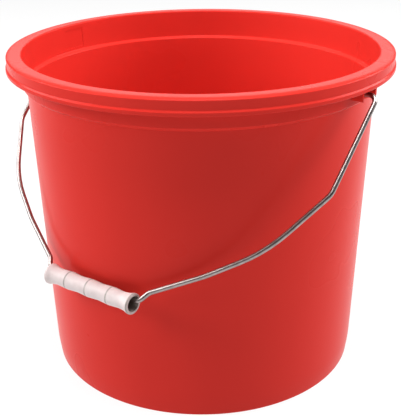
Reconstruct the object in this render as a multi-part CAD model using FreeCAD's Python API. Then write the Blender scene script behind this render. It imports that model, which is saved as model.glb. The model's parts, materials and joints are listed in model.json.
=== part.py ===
"""Twelve-litre plastic bucket with a swinging wire bail and a loose ribbed grip. Millimetres.

Frame: the origin is the centre of the foot ring on the floor and +Z is up. The bail's hinge axis is
parallel to X. The bail is stored hanging on the -Y side, with its grip resting against the wall.

Pieces, one STEP each:
  bucket_body  one moulding: foot ring, base, wall, stepped band, skirted rim, two bail ears
  bail_wire    one bent steel wire, its two ends bent inwards into the ears
  handle_grip  one moulded tube, threaded on the wire
"""
import FreeCAD
import Part
import math
import os

Vec = FreeCAD.Vector
ORIGIN = Vec(0, 0, 0)
AXIS_X = Vec(1, 0, 0)
AXIS_Z = Vec(0, 0, 1)

# ---- driving dimensions: bucket body -------------------------------------------------------------
HEIGHT = 256.5             # floor to the top of the rim
WALL = 1.9                 # wall thickness
WALL_FOOT_R = 126.2        # outer radius the wall's cone would have at the floor
DRAFT = 0.0396             # growth of the wall's radius per mm of height
BASE_RISE = 3.7            # underside of the base above the floor
BASE_THICK = 2.5
FOOT_R = 125.1             # outer radius of the foot ring at the floor
FOOT_WIDTH = 4.5
HEEL_Z = 13.1              # height where the wall turns in towards the foot
HEEL_RADIUS = 95.0

LEDGE_Z = 232.4            # inner edge of the step between wall and band
BAND_OUT_R = 138.6         # outer radius of the band at its lower edge
BAND_IN_R = 136.5
BAND_GROWTH = 0.6          # growth of the band's outer radius up to the rim

RIM_IN_R = 137.6           # where the rim's flat top would meet the band's inner face
RIM_OUT_R = 149.25
RIM_THICK = 2.5
CROWN_R = 146.9            # where the rim's top starts to fall away to its outer edge
CROWN_DROP = 1.2
CROWN_RADIUS = 8.0
SKIRT_Z = 244.5            # lower edge of the rim's outer skirt
SKIRT_IN_TOP_R = 147.0
SKIRT_IN_LOW_R = 147.4
LIP_R = 150.0              # bead along the skirt's lower edge
LIP_HEIGHT = 2.7
SHOULDER_R = 148.9         # foot of the skirt's face, above the bead
SHOULDER_RISE = 1.3

# ---- driving dimensions: bail ears ---------------------------------------------------------------
HINGE_Z = 240.0
EAR_HALF_WIDTH = 10.5
EAR_LOW_Z = 236.2
EAR_IN_X = 140.9           # inner face of the plate that holds the wire
EAR_FACE_X = 142.8         # outer face of that plate, set back between the side walls
EAR_OUT_X = 146.5          # outer edge of the ear's side walls
EAR_SIDE = 2.0             # thickness of the side walls
EAR_CORNER = 3.0
SINK_DEPTH = 0.25          # shallow flat inside the band, opposite each ear

# ---- driving dimensions: bail and grip -----------------------------------------------------------
WIRE_R = 1.85
HOLE_R = WIRE_R + 0.10
HOLE_MOUTH_R = 2.6
WIRE_END_X = 139.25        # end of the wire, behind the ear's plate and just short of the band

# The right half of the bail, in its own plane: distance from the middle, distance from the hinge
# axis, and radius of the bend there.
BAIL_BENDS = [
    (152.5, 0.0, 6.0),
    (149.7, 78.8, 15.0),
    (121.6, 130.1, 100.0),
    (85.6, 159.1, 100.0),
    (49.0, 183.2, 6.5),
    (43.8, 191.5, 5.5),
]
GRIP_RUN_V = BAIL_BENDS[-1][1]

GRIP_HALF = 41.0
GRIP_BORE_R = 5.0
GRIP_MOUTH_R = 5.9
GRIP_MOUTH_DEPTH = 6.5
GRIP_END_R = 7.9
GRIP_RING_R = 6.85
GRIP_WAIST_R = 6.2
GRIP_RING_WIDTH = 1.5
GRIP_RINGS = 3
GRIP_PITCH = 20.5
GRIP_RUNNING_GAP = 0.1     # between the wire and the top of the bore
GRIP_WALL_GAP = 0.3        # between the grip's rings and the bucket's wall at rest

# ---- worked out ----------------------------------------------------------------------------------
GRIP_V = GRIP_RUN_V + GRIP_BORE_R - WIRE_R - GRIP_RUNNING_GAP
DRAFT_ANGLE = math.atan(DRAFT)


def rest_angle():
    """Angle of the hanging bail from straight down, in radians, where its grip meets the wall."""
    reach = (WALL_FOOT_R + DRAFT * HINGE_Z
             + (GRIP_RING_R + GRIP_WALL_GAP) / math.cos(DRAFT_ANGLE))
    return math.asin(reach * math.cos(DRAFT_ANGLE) / GRIP_V) - DRAFT_ANGLE


BAIL_ANGLE = rest_angle()


# ---- outlines ------------------------------------------------------------------------------------
def unit(vector):
    return Vec(vector).normalize()


def bend(before, corner, after, radius):
    """The arc that rounds a corner of a path: its first point, middle point and last point."""
    back = unit(before - corner)
    on = unit(after - corner)
    half = back.getAngle(on) / 2
    reach = radius / math.tan(half)
    centre = corner + unit(back + on) * (radius / math.sin(half))
    middle = centre + unit(corner - centre) * radius
    return corner + back * reach, middle, corner + on * reach


def rounded_path(points, radii, closed):
    """Straight runs between the points, joined by tangent arcs of the given radii."""
    count = len(points)
    edges = []
    last = None
    first = None
    for i in range(count):
        radius = radii[i]
        is_end = not closed and i in (0, count - 1)
        if is_end or radius == 0:
            start = stop = points[i]
            arc = None
        else:
            start, middle, stop = bend(points[i - 1], points[i], points[(i + 1) % count], radius)
            arc = Part.Arc(start, middle, stop).toShape()
        if last is None:
            first = start
        else:
            edges.append(Part.LineSegment(last, start).toShape())
        if arc:
            edges.append(arc)
        last = stop
    if closed:
        edges.append(Part.LineSegment(last, first).toShape())
    return Part.Wire(edges)


def turned(outline, centre, axis):
    """The solid made by turning an outline of (radius, height, corner radius) round the Z axis."""
    points = [Vec(r, 0, z) for r, z, _ in outline]
    wire = rounded_path(points, [corner for _, _, corner in outline], True)
    return Part.Face(wire).revolve(centre, axis, 360)


def plate(outline, x_low, x_high):
    """A flat plate across X, cut to an outline of (y, z, corner radius)."""
    points = [Vec(x_low, y, z) for y, z, _ in outline]
    wire = rounded_path(points, [corner for _, _, corner in outline], True)
    return Part.Face(wire).extrude(Vec(x_high - x_low, 0, 0))


def box(x, y, z):
    """A box between two corners, given as (low, high) on each axis."""
    return Part.makeBox(x[1] - x[0], y[1] - y[0], z[1] - z[0], Vec(x[0], y[0], z[0]))


# ---- bucket body ---------------------------------------------------------------------------------
def wall_r(z):
    """Outer radius of the wall's cone."""
    return WALL_FOOT_R + DRAFT * z


def body_outline():
    """Half section of the moulding, from the foot ring up the outside and down the inside."""
    base_top = BASE_RISE + BASE_THICK
    flange_under = HEIGHT - RIM_THICK
    outer_ledge_z = LEDGE_Z - 1.7
    bead_top = SKIRT_Z + LIP_HEIGHT
    return [
        (FOOT_R, 0, 1.0),
        (wall_r(HEEL_Z), HEEL_Z, HEEL_RADIUS),
        (wall_r(outer_ledge_z), outer_ledge_z, 0.8),
        (BAND_OUT_R, LEDGE_Z + 0.6, 1.2),
        (BAND_OUT_R + BAND_GROWTH, flange_under, 0.8),
        (SKIRT_IN_TOP_R, flange_under, 0.8),
        (SKIRT_IN_LOW_R, SKIRT_Z, 0.5),
        (LIP_R, SKIRT_Z, 0.7),
        (LIP_R, bead_top, 0.9),
        (SHOULDER_R, bead_top + SHOULDER_RISE, 0.8),
        (RIM_OUT_R, HEIGHT - CROWN_DROP, 1.0),
        (CROWN_R, HEIGHT, CROWN_RADIUS),
        (RIM_IN_R, HEIGHT, 1.4),
        (BAND_IN_R, LEDGE_Z + 1.3, 1.0),
        (wall_r(LEDGE_Z) - WALL, LEDGE_Z, 1.2),
        (wall_r(base_top) - WALL, base_top, 7.0),
        (0, base_top, 0),
        (0, BASE_RISE, 0),
        (FOOT_R - FOOT_WIDTH - 0.3, BASE_RISE, 1.0),
        (FOOT_R - FOOT_WIDTH, 0, 0.8),
    ]


def ear():
    """One bail ear on +X: two side walls under the rim, joined by a set-back plate with the hole."""
    half = EAR_HALF_WIDTH
    under = HEIGHT - RIM_THICK
    root = under + 1.0
    low = EAR_LOW_Z - 1
    inside = (EAR_SIDE - half, half - EAR_SIDE)
    outline = [
        (-half, EAR_LOW_Z, EAR_CORNER),
        (half, EAR_LOW_Z, EAR_CORNER),
        (half, root, 0),
        (-half, root, 0),
    ]
    band_middle = (BAND_IN_R + BAND_OUT_R) / 2
    skirt_middle = SKIRT_IN_LOW_R + 0.6
    solid = plate(outline, band_middle, EAR_OUT_X)
    solid = solid.fuse(box((EAR_IN_X, skirt_middle), (-half, half), (SKIRT_Z + 0.7, root)))
    behind = box((band_middle - 1, EAR_IN_X), inside, (low, under))
    in_front = box((EAR_FACE_X, skirt_middle + 1), inside, (low, under))
    hole = Part.makeCylinder(HOLE_R, 6, Vec(EAR_IN_X - 3, 0, HINGE_Z), AXIS_X)
    flare = HOLE_MOUTH_R - HOLE_R
    mouth = Part.makeCone(HOLE_R, HOLE_MOUTH_R, flare, Vec(EAR_FACE_X - flare, 0, HINGE_Z), AXIS_X)
    return solid.cut([behind, in_front, hole, mouth])


def sink_flat():
    """The shallow recess that the thick ear leaves on the band's inner face, on +X."""
    low, high = LEDGE_Z + 4.0, HEIGHT - 4.5
    rise = (RIM_IN_R - BAND_IN_R) / (HEIGHT - LEDGE_Z - 1.3)
    r_low = BAND_IN_R + rise * (low - LEDGE_Z - 1.3) + SINK_DEPTH
    cone = Part.makeCone(r_low, r_low + rise * (high - low), high - low, Vec(0, 0, low), AXIS_Z)
    return cone.common(box((100, 150), (-EAR_HALF_WIDTH, EAR_HALF_WIDTH), (low, high)))


def turned_copy(shape, degrees):
    copy = shape.copy()
    copy.rotate(ORIGIN, AXIS_Z, degrees)
    return copy


def gate_mark():
    """The small nub left under the base where the plastic entered the mould."""
    return Part.makeCone(2.0, 3.2, 1.4, Vec(0, 0, BASE_RISE - 1.2), AXIS_Z)


def stiffening_ring():
    """A low ring moulded under the base."""
    low = BASE_RISE - 1.0
    ring = Part.makeCylinder(61.0, 1.2, Vec(0, 0, low), AXIS_Z)
    return ring.cut(Part.makeCylinder(59.4, 1.2, Vec(0, 0, low), AXIS_Z))


def bucket_body():
    body = turned(body_outline(), ORIGIN, AXIS_Z)
    ears = [turned_copy(ear(), degrees) for degrees in (0, 180)]
    body = body.fuse(ears + [gate_mark(), stiffening_ring()])
    body = body.cut([turned_copy(sink_flat(), degrees) for degrees in (0, 180)])
    return body.removeSplitter()


# ---- bail and grip -------------------------------------------------------------------------------
def bail_point(u, v):
    """A point of the bail's plane: u along the hinge axis, v away from it."""
    return Vec(u, -v * math.sin(BAIL_ANGLE), HINGE_Z - v * math.cos(BAIL_ANGLE))


def bail_wire():
    right = [(WIRE_END_X, 0, 0)] + BAIL_BENDS
    left = [(-u, v, r) for u, v, r in reversed(right)]
    bends = right + left
    path = rounded_path([bail_point(u, v) for u, v, _ in bends], [r for _, _, r in bends], False)
    section = Part.Wire(Part.makeCircle(WIRE_R, bail_point(WIRE_END_X, 0), AXIS_X))
    wire = path.makePipeShell([section], True, False)
    expected = math.pi * WIRE_R ** 2 * path.Length
    print(f"bail wire: length {path.Length:.1f}, volume over swept section {wire.Volume / expected:.4f}")
    return wire


def grip_outline():
    """Half section of the grip along its own axis: waists between raised rings, with flared ends."""
    first = -GRIP_PITCH * (GRIP_RINGS - 1) / 2
    half = GRIP_RING_WIDTH / 2
    lip = GRIP_HALF - 1.7
    neck = GRIP_HALF - 5.0
    waist = -first + GRIP_PITCH / 2
    outer = [(GRIP_END_R, -GRIP_HALF, 0.8), (GRIP_END_R, -lip, 1.2), (GRIP_RING_R, -neck, 6.0)]
    outer.append((GRIP_WAIST_R, -waist, 20.0))
    for i in range(GRIP_RINGS):
        middle = first + i * GRIP_PITCH
        outer.append((GRIP_RING_R, middle - half, 0.5))
        outer.append((GRIP_RING_R, middle + half, 0.5))
        outer.append((GRIP_WAIST_R, middle + GRIP_PITCH / 2, 20.0))
    outer += [(GRIP_RING_R, neck, 6.0), (GRIP_END_R, lip, 1.2), (GRIP_END_R, GRIP_HALF, 0.8)]
    mouth = GRIP_HALF - GRIP_MOUTH_DEPTH
    inner = [
        (GRIP_MOUTH_R, GRIP_HALF, 0.5),
        (GRIP_BORE_R, mouth, 4.0),
        (GRIP_BORE_R, -mouth, 4.0),
        (GRIP_MOUTH_R, -GRIP_HALF, 0.5),
    ]
    return outer + inner


def handle_grip():
    """The grip, turned about Z and then laid along the bail's straight middle run."""
    grip = turned(grip_outline(), ORIGIN, AXIS_Z)
    grip.rotate(ORIGIN, Vec(0, 1, 0), 90)
    grip.translate(bail_point(0, GRIP_V))
    return grip


# ---- output --------------------------------------------------------------------------------------
def main():
    os.makedirs("parts", exist_ok=True)
    pieces = {"bucket_body": bucket_body(), "bail_wire": bail_wire(), "handle_grip": handle_grip()}
    for name, shape in pieces.items():
        shape.exportStep(f"parts/{name}.step")
        print(f"{name}: {len(shape.Solids)} solid, valid {shape.isValid()}, {shape.Volume / 1000:.2f} cm3")
    grip = bail_point(0, GRIP_V)
    print(f"bail angle {math.degrees(BAIL_ANGLE):.3f} degrees, grip axis y {grip.y:.3f}, z {grip.z:.3f}")


main()
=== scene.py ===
"""A red plastic bucket with a plated wire bail and a white ribbed grip, on a white floor.

Each of the three CAD pieces is replaced by a finer mesh of the same shape and size. Lengths in the
tables are millimetres, in the CAD frame: the origin is the centre of the foot, +Z up, and the
bail's hinge axis is parallel to X.
"""
import bmesh
import bpy
import json
import math
from mathutils import Matrix, Quaternion, Vector


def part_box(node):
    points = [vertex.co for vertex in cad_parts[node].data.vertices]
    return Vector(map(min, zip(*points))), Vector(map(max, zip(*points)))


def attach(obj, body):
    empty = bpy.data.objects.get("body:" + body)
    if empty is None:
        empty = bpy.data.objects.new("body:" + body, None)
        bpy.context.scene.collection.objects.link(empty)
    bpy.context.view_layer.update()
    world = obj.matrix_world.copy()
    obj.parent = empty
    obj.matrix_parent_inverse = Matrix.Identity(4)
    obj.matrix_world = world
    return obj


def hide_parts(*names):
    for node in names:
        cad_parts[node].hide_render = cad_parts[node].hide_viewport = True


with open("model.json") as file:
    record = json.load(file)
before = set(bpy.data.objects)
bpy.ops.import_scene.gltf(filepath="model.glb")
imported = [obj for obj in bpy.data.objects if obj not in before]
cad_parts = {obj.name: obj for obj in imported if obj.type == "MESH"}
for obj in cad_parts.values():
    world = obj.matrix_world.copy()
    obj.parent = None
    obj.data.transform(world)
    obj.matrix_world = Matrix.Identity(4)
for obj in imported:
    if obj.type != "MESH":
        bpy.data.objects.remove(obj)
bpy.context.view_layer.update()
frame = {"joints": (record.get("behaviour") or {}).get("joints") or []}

MM = 0.001
scene = bpy.context.scene
hinge = next(j for j in frame["joints"] if j["name"] == "bail_swing")
spin = next(j for j in frame["joints"] if j["name"] == "grip_spin")
HINGE = Vector(hinge["pos_m"]) / MM
GRIP = Vector(spin["pos_m"]) / MM
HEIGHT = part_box("bucket_body")[1][2] / MM


# ---- outlines ------------------------------------------------------------------------------------
def rounded(corners, closed, step=8.0):
    """Points along straight runs between (x, y, radius) corners, with an arc at each rounded one."""
    count = len(corners)
    points = []
    for i, (x, y, radius) in enumerate(corners):
        here = Vector((x, y))
        if not radius or (not closed and i in (0, count - 1)):
            points.append(here)
            continue
        back = (Vector(corners[i - 1][:2]) - here).normalized()
        on = (Vector(corners[(i + 1) % count][:2]) - here).normalized()
        half = back.angle(on) / 2
        centre = here + (back + on).normalized() * (radius / math.sin(half))
        start = here + back * (radius / math.tan(half)) - centre
        turn = start.angle_signed(here + on * (radius / math.tan(half)) - centre)
        steps = max(2, math.ceil(abs(math.degrees(turn)) / step))
        for k in range(steps + 1):
            points.append(centre + Matrix.Rotation(-turn * k / steps, 2) @ start)
    return points


def subdivided(points, closed, longest):
    """The same line with no span longer than the given length."""
    result = []
    for a, b in zip(points, points[1:] + (points[:1] if closed else [])):
        parts = max(1, math.ceil((b - a).length / longest))
        result += [a.lerp(b, k / parts) for k in range(parts)]
    return result if closed else result + [points[-1]]


# ---- meshes --------------------------------------------------------------------------------------
MERGE_DISTANCE = 1e-4
ON_AXIS = 1e-6
SHARP_SMALL, SHARP_BODY, SHARP_WIRE = 30, 40, 50
BODY_SEGMENTS, GRIP_SEGMENTS, RING_SEGMENTS, BORE_SEGMENTS = 240, 96, 144, 48


def new_piece(name, bm, smooth_angle):
    """A Blender object from a bmesh in millimetres."""
    bmesh.ops.remove_doubles(bm, verts=bm.verts, dist=MERGE_DISTANCE)
    bmesh.ops.recalc_face_normals(bm, faces=bm.faces)
    bmesh.ops.scale(bm, vec=(MM, MM, MM), verts=bm.verts)
    mesh = bpy.data.meshes.new(name)
    bm.to_mesh(mesh)
    bm.free()
    mesh.shade_smooth()
    mesh.set_sharp_from_angle(angle=math.radians(smooth_angle))
    piece = bpy.data.objects.new(name, mesh)
    scene.collection.objects.link(piece)
    return piece


def lathe(outline, segments):
    """A closed outline of (radius, height) points turned round Z; points on the axis become poles."""
    bm = bmesh.new()
    turn = 2 * math.pi / segments
    rings = []
    for radius, z in outline:
        if radius < ON_AXIS:
            rings.append([bm.verts.new((0, 0, z))] * segments)
            continue
        rings.append([
            bm.verts.new((radius * math.cos(turn * k), radius * math.sin(turn * k), z))
            for k in range(segments)
        ])
    for a, b in zip(rings, rings[1:] + rings[:1]):
        for k in range(segments):
            corners = [a[k], a[(k + 1) % segments], b[(k + 1) % segments], b[k]]
            unique = list(dict.fromkeys(corners))
            if len(unique) > 2:
                bm.faces.new(unique)
    return bm


def prism(bm, outline, x_low, x_high):
    """Adds a plate across X, cut to an outline of (y, z) points."""
    near = [bm.verts.new((x_low, y, z)) for y, z in outline]
    far = [bm.verts.new((x_high, y, z)) for y, z in outline]
    bm.faces.new(near[::-1])
    bm.faces.new(far)
    for k in range(len(outline)):
        j = (k + 1) % len(outline)
        bm.faces.new((near[k], near[j], far[j], far[k]))


def block(bm, x, y, z):
    """Adds a box between two corners, given as (low, high) on each axis."""
    prism(bm, [(y[0], z[0]), (y[1], z[0]), (y[1], z[1]), (y[0], z[1])], *x)


def combined(piece, tool, operation):
    """The piece joined with, or cut by, another closed mesh, which is then thrown away."""
    modifier = piece.modifiers.new("combine", "BOOLEAN")
    modifier.object = tool
    modifier.operation = operation
    modifier.solver = "EXACT"
    graph = bpy.context.evaluated_depsgraph_get()
    mesh = bpy.data.meshes.new_from_object(piece.evaluated_get(graph))
    piece.modifiers.clear()
    piece.data = mesh
    bpy.data.objects.remove(tool)


# ---- bucket body ---------------------------------------------------------------------------------
WALL_FOOT_R = 126.2
DRAFT = 0.0396
WALL = 1.9
FOOT_R = 125.1
LEDGE_Z = 232.4
BAND_IN_R, BAND_OUT_R = 136.5, 138.6
RIM_IN_R = 137.6
BASE_RISE = 3.7
BASE_TOP_Z = 6.2
FOOT_TOP_Z = 13.1
RIM_THICK = 2.5
SKIRT_Z = 244.5
SKIRT_IN_R = 147.4
LIP_R = 150.0
EAR_IN_X, EAR_FACE_X, EAR_OUT_X = 140.9, 142.8, 146.5
EAR_LOW_Z = 236.2
EAR_HALF = 10.5
EAR_SIDE = 2.0
HOLE_R, HOLE_MOUTH_R = 1.95, 2.6
SINK_DEPTH = 0.25
SINK_STEPS = 12
BASE_RING_IN_R, BASE_RING_OUT_R, BASE_RING_DEPTH = 59.4, 61.0, 1.0
NUB_TIP_R, NUB_ROOT_R, NUB_DEPTH = 2.0, 3.2, 1.2
OVERLAP = 0.2


def wall_r(z):
    """Outer radius of the wall's cone."""
    return WALL_FOOT_R + DRAFT * z


def body_outline():
    """Half section of the moulding, from the foot ring up the outside and down the inside."""
    under = HEIGHT - RIM_THICK
    return [
        (FOOT_R, 0, 1.0),
        (wall_r(FOOT_TOP_Z), FOOT_TOP_Z, 95.0),
        (wall_r(LEDGE_Z - 1.7), LEDGE_Z - 1.7, 0.8),
        (BAND_OUT_R, LEDGE_Z + 0.6, 1.2),
        (BAND_OUT_R + 0.6, under, 0.8),
        (147.0, under, 0.8),
        (SKIRT_IN_R, SKIRT_Z, 0.5),
        (LIP_R, SKIRT_Z, 0.7),
        (LIP_R, SKIRT_Z + 2.7, 0.9),
        (148.9, SKIRT_Z + 4.0, 0.8),
        (149.25, HEIGHT - 1.2, 1.0),
        (146.9, HEIGHT, 8.0),
        (RIM_IN_R, HEIGHT, 1.4),
        (BAND_IN_R, LEDGE_Z + 1.3, 1.0),
        (wall_r(LEDGE_Z) - WALL, LEDGE_Z, 1.2),
        (wall_r(BASE_TOP_Z) - WALL, BASE_TOP_Z, 7.0),
        (0, BASE_TOP_Z, 0),
        (0, BASE_RISE, 0),
        (FOOT_R - 4.8, BASE_RISE, 1.0),
        (FOOT_R - 4.5, 0, 0.8),
    ]


def ear():
    """One bail ear on +X: two side walls under the rim, joined by a set-back plate with the hole."""
    under = HEIGHT - RIM_THICK
    root = under + 1.0
    inner = EAR_HALF - EAR_SIDE
    band_middle = (BAND_IN_R + BAND_OUT_R) / 2
    skirt_middle = SKIRT_IN_R + 0.6
    side = rounded([
        (-EAR_HALF, EAR_LOW_Z, 3), (EAR_HALF, EAR_LOW_Z, 3), (EAR_HALF, root, 0), (-EAR_HALF, root, 0),
    ], True)
    walls = bmesh.new()
    prism(walls, side, band_middle, EAR_OUT_X)
    walls = new_piece("walls", walls, SHARP_SMALL)
    bridge = bmesh.new()
    block(bridge, (EAR_IN_X, skirt_middle), (-EAR_HALF, EAR_HALF), (SKIRT_Z + 0.7, root))
    combined(walls, new_piece("bridge", bridge, SHARP_SMALL), "UNION")
    hollows = bmesh.new()
    block(hollows, (band_middle - 1, EAR_IN_X), (-inner, inner), (EAR_LOW_Z - 1, under))
    block(hollows, (EAR_FACE_X, skirt_middle + 1), (-inner, inner), (EAR_LOW_Z - 1, under))
    combined(walls, new_piece("hollows", hollows, SHARP_SMALL), "DIFFERENCE")
    flare = HOLE_MOUTH_R - HOLE_R
    bore = lathe([
        (0, EAR_IN_X - 3), (HOLE_R, EAR_IN_X - 3), (HOLE_R, EAR_FACE_X - flare),
        (HOLE_MOUTH_R, EAR_FACE_X), (HOLE_MOUTH_R, EAR_FACE_X + 1), (0, EAR_FACE_X + 1),
    ], BORE_SEGMENTS)
    lay = Matrix.Translation((0, HINGE.y, HINGE.z)) @ Matrix.Rotation(math.radians(90), 4, "Y")
    bmesh.ops.transform(bore, matrix=lay, verts=bore.verts)
    combined(walls, new_piece("bore", bore, SHARP_SMALL), "DIFFERENCE")
    return walls


def both_ears():
    """The ear and its copy on -X, turned half round."""
    one = ear()
    bm = bmesh.new()
    bm.from_mesh(one.data)
    copied = bmesh.ops.duplicate(bm, geom=bm.verts[:] + bm.edges[:] + bm.faces[:])["geom"]
    verts = [v for v in copied if isinstance(v, bmesh.types.BMVert)]
    bmesh.ops.rotate(bm, matrix=Matrix.Rotation(math.pi, 3, "Z"), verts=verts)
    bm.to_mesh(one.data)
    bm.free()
    return one


def sink_flats():
    """Cutters for the shallow flat that each thick ear leaves on the band's inner face."""
    low, high = LEDGE_Z + 4.0, HEIGHT - 4.5
    rise = (RIM_IN_R - BAND_IN_R) / (HEIGHT - LEDGE_Z - 1.3)
    r_low = BAND_IN_R + rise * (low - LEDGE_Z - 1.3) + SINK_DEPTH
    r_high = r_low + rise * (high - low)
    edge = math.asin(EAR_HALF / r_low)
    inside = r_low - 3
    section = ((inside, low), (r_low, low), (r_high, high), (inside, high))
    bm = bmesh.new()
    for middle in (0, math.pi):
        columns = []
        for k in range(SINK_STEPS + 1):
            a = middle + edge * (2 * k / SINK_STEPS - 1)
            columns.append([bm.verts.new((r * math.cos(a), r * math.sin(a), z)) for r, z in section])
        bm.faces.new(columns[0])
        bm.faces.new(columns[-1][::-1])
        for a, b in zip(columns, columns[1:]):
            for k in range(4):
                j = (k + 1) % 4
                bm.faces.new((a[k], b[k], b[j], a[j]))
    return new_piece("sink_flats", bm, SHARP_SMALL)


def under_base():
    """The nub where the plastic entered the mould, and the low ring moulded round it."""
    ring_low = BASE_RISE - BASE_RING_DEPTH
    nub_low = BASE_RISE - NUB_DEPTH
    root = BASE_RISE + OVERLAP
    bm = lathe(rounded([
        (BASE_RING_IN_R, ring_low, 0.3), (BASE_RING_OUT_R, ring_low, 0.3),
        (BASE_RING_OUT_R, root, 0), (BASE_RING_IN_R, root, 0),
    ], True), RING_SEGMENTS)
    ring = new_piece("ring", bm, SHARP_SMALL)
    nub = lathe([(0, nub_low), (NUB_TIP_R, nub_low), (NUB_ROOT_R, root), (0, root)], BORE_SEGMENTS)
    combined(ring, new_piece("nub", nub, SHARP_SMALL), "UNION")
    return ring


def bucket():
    """The whole moulding: turned body, two ears, sink marks and the marks under the base."""
    outline = subdivided(rounded(body_outline(), True), True, 16.0)
    piece = new_piece("bucket_moulding", lathe(outline, BODY_SEGMENTS), SHARP_BODY)
    combined(piece, both_ears(), "UNION")
    combined(piece, sink_flats(), "DIFFERENCE")
    combined(piece, under_base(), "UNION")
    piece.data.shade_smooth()
    piece.data.set_sharp_from_angle(angle=math.radians(SHARP_BODY))
    return piece


# ---- bail ----------------------------------------------------------------------------------------
WIRE_R = 1.85
WIRE_SIDES = 24
WIRE_CHAMFER = 0.35
BAIL_RIGHT = [
    (139.25, 0.0, 0),
    (152.5, 0.0, 6.0),
    (149.7, 78.8, 15.0),
    (121.6, 130.1, 100.0),
    (85.6, 159.1, 100.0),
    (49.0, 183.2, 6.5),
    (43.8, 191.5, 5.5),
]


def bail():
    """A round wire along the bail's line, its two ends slightly chamfered where they were cut."""
    left = [(-u, v, r) for u, v, r in reversed(BAIL_RIGHT)]
    line = subdivided(rounded(BAIL_RIGHT + left, False, 5.0), False, 4.0)
    down = (GRIP - HINGE).normalized()
    side = Vector((1, 0, 0))
    across = side.cross(down)
    bm = bmesh.new()
    uv = bm.loops.layers.uv.new("along")
    rings = []
    travelled = 0.0
    last = len(line) - 1
    for i, here in enumerate(line):
        before, after = line[max(i - 1, 0)], line[min(i + 1, last)]
        along = (after - before).normalized()
        if i:
            travelled += (here - line[i - 1]).length
        centre = HINGE + side * here.x + down * here.y
        normal = side * -along.y + down * along.x
        ring = [centre + (normal * math.cos(a) + across * math.sin(a)) * WIRE_R
                for a in (math.tau * k / WIRE_SIDES for k in range(WIRE_SIDES))]
        rings.append(([bm.verts.new(p) for p in ring], travelled))
    for (a, s), (b, t) in zip(rings, rings[1:]):
        for k in range(WIRE_SIDES):
            j = (k + 1) % WIRE_SIDES
            face = bm.faces.new((a[k], a[j], b[j], b[k]))
            places = ((s, k), (s, k + 1), (t, k + 1), (t, k))
            for loop, (distance, turn) in zip(face.loops, places):
                loop[uv].uv = (distance * MM, turn / WIRE_SIDES)
    caps = [bm.faces.new(rings[0][0][::-1]), bm.faces.new(rings[-1][0])]
    rims = list({edge for cap in caps for edge in cap.edges})
    bmesh.ops.bevel(bm, geom=rims, offset=WIRE_CHAMFER, segments=2, affect="EDGES")
    return new_piece("bail_rod", bm, SHARP_WIRE)


# ---- grip ----------------------------------------------------------------------------------------
RING_PITCH = 20.5
RING_WIDTH = 1.5
GRIP_HALF = 41.0
END_R, RIB_R, WAIST_R = 7.9, 6.85, 6.2
FLARE_X, END_WAIST_X = 39.3, 36.0
BORE_R, BORE_MOUTH_R, BORE_MOUTH_X = 5.0, 5.9, 34.5


def grip():
    """The ribbed tube: waists between three raised rings, with flared ends."""
    end = [(RIB_R, END_WAIST_X, 6.0), (END_R, FLARE_X, 1.2), (END_R, GRIP_HALF, 0.8)]
    outer = [(r, -x, bend) for r, x, bend in reversed(end)]
    outer.append((WAIST_R, -1.5 * RING_PITCH, 20.0))
    half = RING_WIDTH / 2
    for middle in (-RING_PITCH, 0.0, RING_PITCH):
        outer += [(RIB_R, middle - half, 0.5), (RIB_R, middle + half, 0.5)]
        outer.append((WAIST_R, middle + RING_PITCH / 2, 20.0))
    outer += end
    inner = [
        (BORE_MOUTH_R, GRIP_HALF, 0.5), (BORE_R, BORE_MOUTH_X, 4.0),
        (BORE_R, -BORE_MOUTH_X, 4.0), (BORE_MOUTH_R, -GRIP_HALF, 0.5),
    ]
    outline = subdivided(rounded(outer + inner, True), True, 2.0)
    bm = lathe(outline, GRIP_SEGMENTS)
    lay = Matrix.Translation(GRIP) @ Matrix.Rotation(math.radians(90), 4, "Y")
    bmesh.ops.transform(bm, matrix=lay, verts=bm.verts)
    return new_piece("grip_tube", bm, SHARP_BODY)


# ---- materials -----------------------------------------------------------------------------------
# The Mix node's colour sockets share their names with its number sockets, so they go by place.
MIX_A, MIX_B, MIX_RESULT = 6, 7, 2
RED_DEEP, RED_BRIGHT = (0.68, 0.030, 0.022, 1), (0.72, 0.034, 0.025, 1)
ZINC_DARK, ZINC_LIGHT = (0.28, 0.24, 0.23, 1), (0.42, 0.37, 0.36, 1)
WHITE_DULL, WHITE_CLEAN = (0.67, 0.57, 0.56, 1), (0.77, 0.68, 0.67, 1)
# Colours and widths of painted shade on the grip: the grey line beside each ring and the darkening deep in
# the bore.
RING_SHADE, BORE_SHADE = (0.22, 0.19, 0.16, 1), (0.16, 0.13, 0.10, 1)
RING_SHADE_WIDTH = 0.0011
BORE_SHADE_REACH = 0.012
FLOOR_GLOW = 0.89


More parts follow.
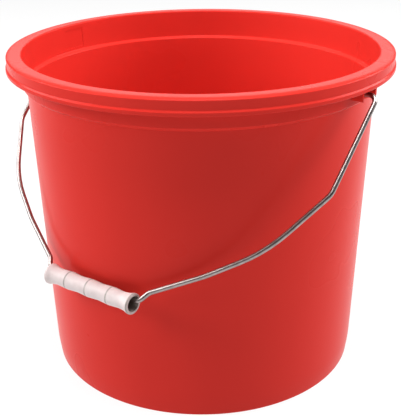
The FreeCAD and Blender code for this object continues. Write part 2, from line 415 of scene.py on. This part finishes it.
class Nodes:
    """Builds one procedural material round a Principled shader."""

    def __init__(self, name):
        self.material = bpy.data.materials.new(name)
        self.material.use_nodes = True
        self.tree = self.material.node_tree
        self.shader = self.tree.nodes["Principled BSDF"]

    def add(self, kind, inputs=None, **settings):
        node = self.tree.nodes.new(kind)
        for key, value in settings.items():
            setattr(node, key, value)
        for key, value in (inputs or {}).items():
            self.feed(node, key, value)
        return node

    def feed(self, node, key, value):
        if isinstance(value, bpy.types.NodeSocket):
            self.tree.links.new(value, node.inputs[key])
        else:
            node.inputs[key].default_value = value

    def place(self, scale, source="Object"):
        """Texture coordinates stretched by a factor on each axis."""
        coordinates = self.add("ShaderNodeTexCoord")
        inputs = {"Vector": coordinates.outputs[source], "Scale": scale}
        mapping = self.add("ShaderNodeMapping", inputs)
        return mapping.outputs["Vector"]

    def noise(self, scale, detail=3.0, stretch=(1, 1, 1), source="Object", roughness=0.5):
        node = self.add("ShaderNodeTexNoise", {
            "Vector": self.place(stretch, source), "Scale": scale, "Detail": detail, "Roughness": roughness,
        })
        return node.outputs["Fac"]

    def ramp(self, value, low, high, out_low, out_high):
        node = self.add("ShaderNodeMapRange", {
            "Value": value, "From Min": low, "From Max": high, "To Min": out_low, "To Max": out_high,
        })
        return node.outputs["Result"]

    def maths(self, operation, a, b):
        return self.add("ShaderNodeMath", {0: a, 1: b}, operation=operation).outputs["Value"]

    def mix(self, factor, a, b):
        node = self.add("ShaderNodeMix", data_type="RGBA")
        self.feed(node, "Factor", factor)
        self.feed(node, MIX_A, a)
        self.feed(node, MIX_B, b)
        return node.outputs[MIX_RESULT]

    def bump(self, height, strength, distance):
        inputs = {"Height": height, "Strength": strength, "Distance": distance}
        return self.add("ShaderNodeBump", inputs).outputs["Normal"]

    def finish(self, **inputs):
        for key, value in inputs.items():
            self.feed(self.shader, key.replace("_", " "), value)
        return self.material


def red_plastic():
    """Semi-gloss polypropylene: faint flow marks in the colour, fine grain, slightly uneven gloss."""
    n = Nodes("red_polypropylene")
    flow = n.noise(9.0, 4.0, (1, 1, 0.25))
    colour = n.mix(n.ramp(flow, 0.35, 0.65, 0.0, 1.0), RED_DEEP, RED_BRIGHT)
    grain = n.noise(1500.0, 2.0)
    wear = n.noise(12.0, 2.0)
    roughness = n.ramp(wear, 0.3, 0.7, 0.27, 0.29)
    normal = n.bump(grain, 0.10, 0.0001)
    return n.finish(
        Base_Color=colour, Roughness=roughness, Normal=normal, IOR=1.49, Specular_IOR_Level=0.06,
    )


def plated_wire():
    """Bright zinc plate on drawn wire: streaks along the wire and a mottled tone."""
    n = Nodes("zinc_plated_wire")
    streaks = n.noise(1.0, 4.0, (60, 40, 1), "UV", 0.65)
    mottle = n.noise(220.0, 4.0)
    colour = n.mix(n.ramp(mottle, 0.3, 0.7, 0.0, 1.0), ZINC_DARK, ZINC_LIGHT)
    roughness = n.ramp(streaks, 0.3, 0.7, 0.26, 0.38)
    normal = n.bump(streaks, 0.15, 0.0001)
    return n.finish(Base_Color=colour, Metallic=1.0, Roughness=roughness, Normal=normal)


def white_plastic():
    """Off-white polyethylene, slightly waxy, with painted shade: a grey line beside each ring and darkening
    deep in the bore.
    """
    n = Nodes("white_polyethylene")
    clouds = n.noise(130.0, 4.0)
    colour = n.mix(n.ramp(clouds, 0.3, 0.7, 0.0, 1.0), WHITE_DULL, WHITE_CLEAN)
    # Painted shade: a grey line along each edge of every ring, where the step throws shadow, broken up by
    # noise.
    along = n.add("ShaderNodeSeparateXYZ", {"Vector": n.place((1, 1, 1))}).outputs["X"]
    from_edge = n.maths("PINGPONG", n.maths("ADD", along, RING_WIDTH / 2 * MM), RING_PITCH / 2 * MM)
    line = n.ramp(from_edge, 0.0, RING_SHADE_WIDTH, 1.0, 0.0)
    patchy = n.ramp(n.noise(260.0, 3.0), 0.35, 0.65, 0.55, 0.95)
    colour = n.mix(n.maths("MULTIPLY", line, patchy), colour, RING_SHADE)
    # Painted shade: the colour goes towards a dark tone wherever ambient occlusion finds the surface
    # enclosed, deep in the bore.
    occlusion = n.add("ShaderNodeAmbientOcclusion", {"Distance": BORE_SHADE_REACH}, samples=8)
    colour = n.mix(n.ramp(occlusion.outputs["AO"], 0.25, 0.75, 0.9, 0.0), colour, BORE_SHADE)
    fine = n.noise(1400.0, 2.0)
    roughness = n.ramp(clouds, 0.3, 0.7, 0.38, 0.50)
    normal = n.bump(fine, 0.10, 0.0002)
    return n.finish(
        Base_Color=colour, Roughness=roughness, Normal=normal, IOR=1.50, Specular_IOR_Level=0.3,
        Subsurface_Weight=0.08, Subsurface_Scale=0.002, Subsurface_Radius=(1.0, 0.9, 0.8),
    )


def floor_white():
    """A pale, evenly lit studio floor with a trace of tone."""
    n = Nodes("studio_floor")
    tone = n.noise(3.0, 2.0)
    colour = n.mix(tone, (0.10, 0.10, 0.10, 1), (0.12, 0.12, 0.12, 1))
    return n.finish(
        Base_Color=colour, Roughness=0.9, Emission_Color=(1, 1, 1, 1), Emission_Strength=FLOOR_GLOW,
    )


# ---- assembly ------------------------------------------------------------------------------------
def fit_out(piece, node, body, material):
    """Gives a piece its material and its body, and hides the CAD node that it stands for."""
    piece.data.materials.clear()
    piece.data.materials.append(material)
    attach(piece, body)
    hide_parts(node)


FLOOR_HALF = 6000
DOME_R = 5500
WORLD_STRENGTH = 0.03
# name, azimuth, elevation, distance, width, height, power
LIGHTS = [
    ("box_left", -92, 30, 1.5, 1.4, 0.6, 21),
    ("box_right", 104, 28, 1.5, 1.2, 0.6, 22),
    ("box_top", 0, 80, 1.4, 0.8, 0.5, 23),
    ("box_back", 180, 24, 1.6, 1.7, 0.5, 4.5),
]
CAMERA_AZIMUTH = 36.76
CAMERA_TILT = 66.742
CAMERA_ROLL = -0.589
CAMERA_DISTANCE = 0.6920
CAMERA_HEIGHT = 0.4151
LENS, SENSOR_WIDTH = 77.69, 36
SHIFT_X, SHIFT_Y = -0.0044, 0.0012
NEAREST = 0.01


def studio_floor():
    """The floor that the bucket stands on, wide enough to reach past the backdrop."""
    bm = bmesh.new()
    bmesh.ops.create_grid(bm, x_segments=2, y_segments=2, size=FLOOR_HALF)
    floor = new_piece("floor", bm, SHARP_SMALL)
    floor.data.materials.append(floor_white())


def backdrop():
    """A pale dome that only the camera sees: it stands behind the floor and adds no light."""
    n = Nodes("studio_backdrop")
    tone = n.noise(0.5, 1.0)
    colour = n.mix(tone, (0.93, 0.93, 0.93, 1), (0.95, 0.95, 0.95, 1))
    n.finish(Base_Color=(0, 0, 0, 1), Roughness=1.0, Emission_Color=colour, Emission_Strength=1.0)
    bm = bmesh.new()
    bmesh.ops.create_icosphere(bm, subdivisions=4, radius=DOME_R)
    dome = new_piece("backdrop", bm, 180)
    dome.data.materials.append(n.material)
    dome.visible_diffuse = dome.visible_glossy = False
    dome.visible_transmission = dome.visible_shadow = False


def softbox(name, azimuth, elevation, distance, width, height, power):
    """A rectangular area light aimed at the bucket; azimuth is measured from the camera's side."""
    light = bpy.data.lights.new(name, "AREA")
    light.shape = "RECTANGLE"
    light.size, light.size_y, light.energy = width, height, power
    lamp = bpy.data.objects.new(name, light)
    lamp.visible_camera = False
    scene.collection.objects.link(lamp)
    a, e = math.radians(CAMERA_AZIMUTH + azimuth), math.radians(elevation)
    back = Vector((math.sin(a) * math.cos(e), -math.cos(a) * math.cos(e), math.sin(e)))
    lamp.location = Vector((0, 0, HEIGHT * MM / 2)) + back * distance
    lamp.rotation_mode = "QUATERNION"
    lamp.rotation_quaternion = (-back).to_track_quat("-Z", "Y")


def camera():
    """The camera, fitted to the object's circles, at the photograph's angle."""
    data = bpy.data.cameras.new("camera")
    data.sensor_width = SENSOR_WIDTH
    data.lens = LENS
    data.shift_x = SHIFT_X
    data.shift_y = SHIFT_Y
    data.clip_start = NEAREST
    view = bpy.data.objects.new("camera", data)
    scene.collection.objects.link(view)
    a = math.radians(CAMERA_AZIMUTH)
    view.location = (CAMERA_DISTANCE * math.sin(a), -CAMERA_DISTANCE * math.cos(a), CAMERA_HEIGHT)
    pan = Quaternion((0, 0, 1), a)
    tilt = Quaternion((1, 0, 0), math.radians(CAMERA_TILT))
    roll = Quaternion((0, 0, 1), math.radians(CAMERA_ROLL))
    view.rotation_mode = "QUATERNION"
    view.rotation_quaternion = pan @ tilt @ roll
    scene.camera = view


def light_studio():
    """Four soft boxes and a trace of even light from all round."""
    world = bpy.data.worlds.new("studio")
    world.use_nodes = True
    background = world.node_tree.nodes["Background"]
    background.inputs["Color"].default_value = (1, 1, 1, 1)
    background.inputs["Strength"].default_value = WORLD_STRENGTH
    scene.world = world
    for box in LIGHTS:
        softbox(*box)
    scene.view_settings.view_transform = "Standard"


fit_out(bucket(), "bucket_body", "bucket", red_plastic())
fit_out(bail(), "bail_wire", "bail", plated_wire())
fit_out(grip(), "handle_grip", "grip", white_plastic())
studio_floor()
backdrop()
camera()
light_studio()
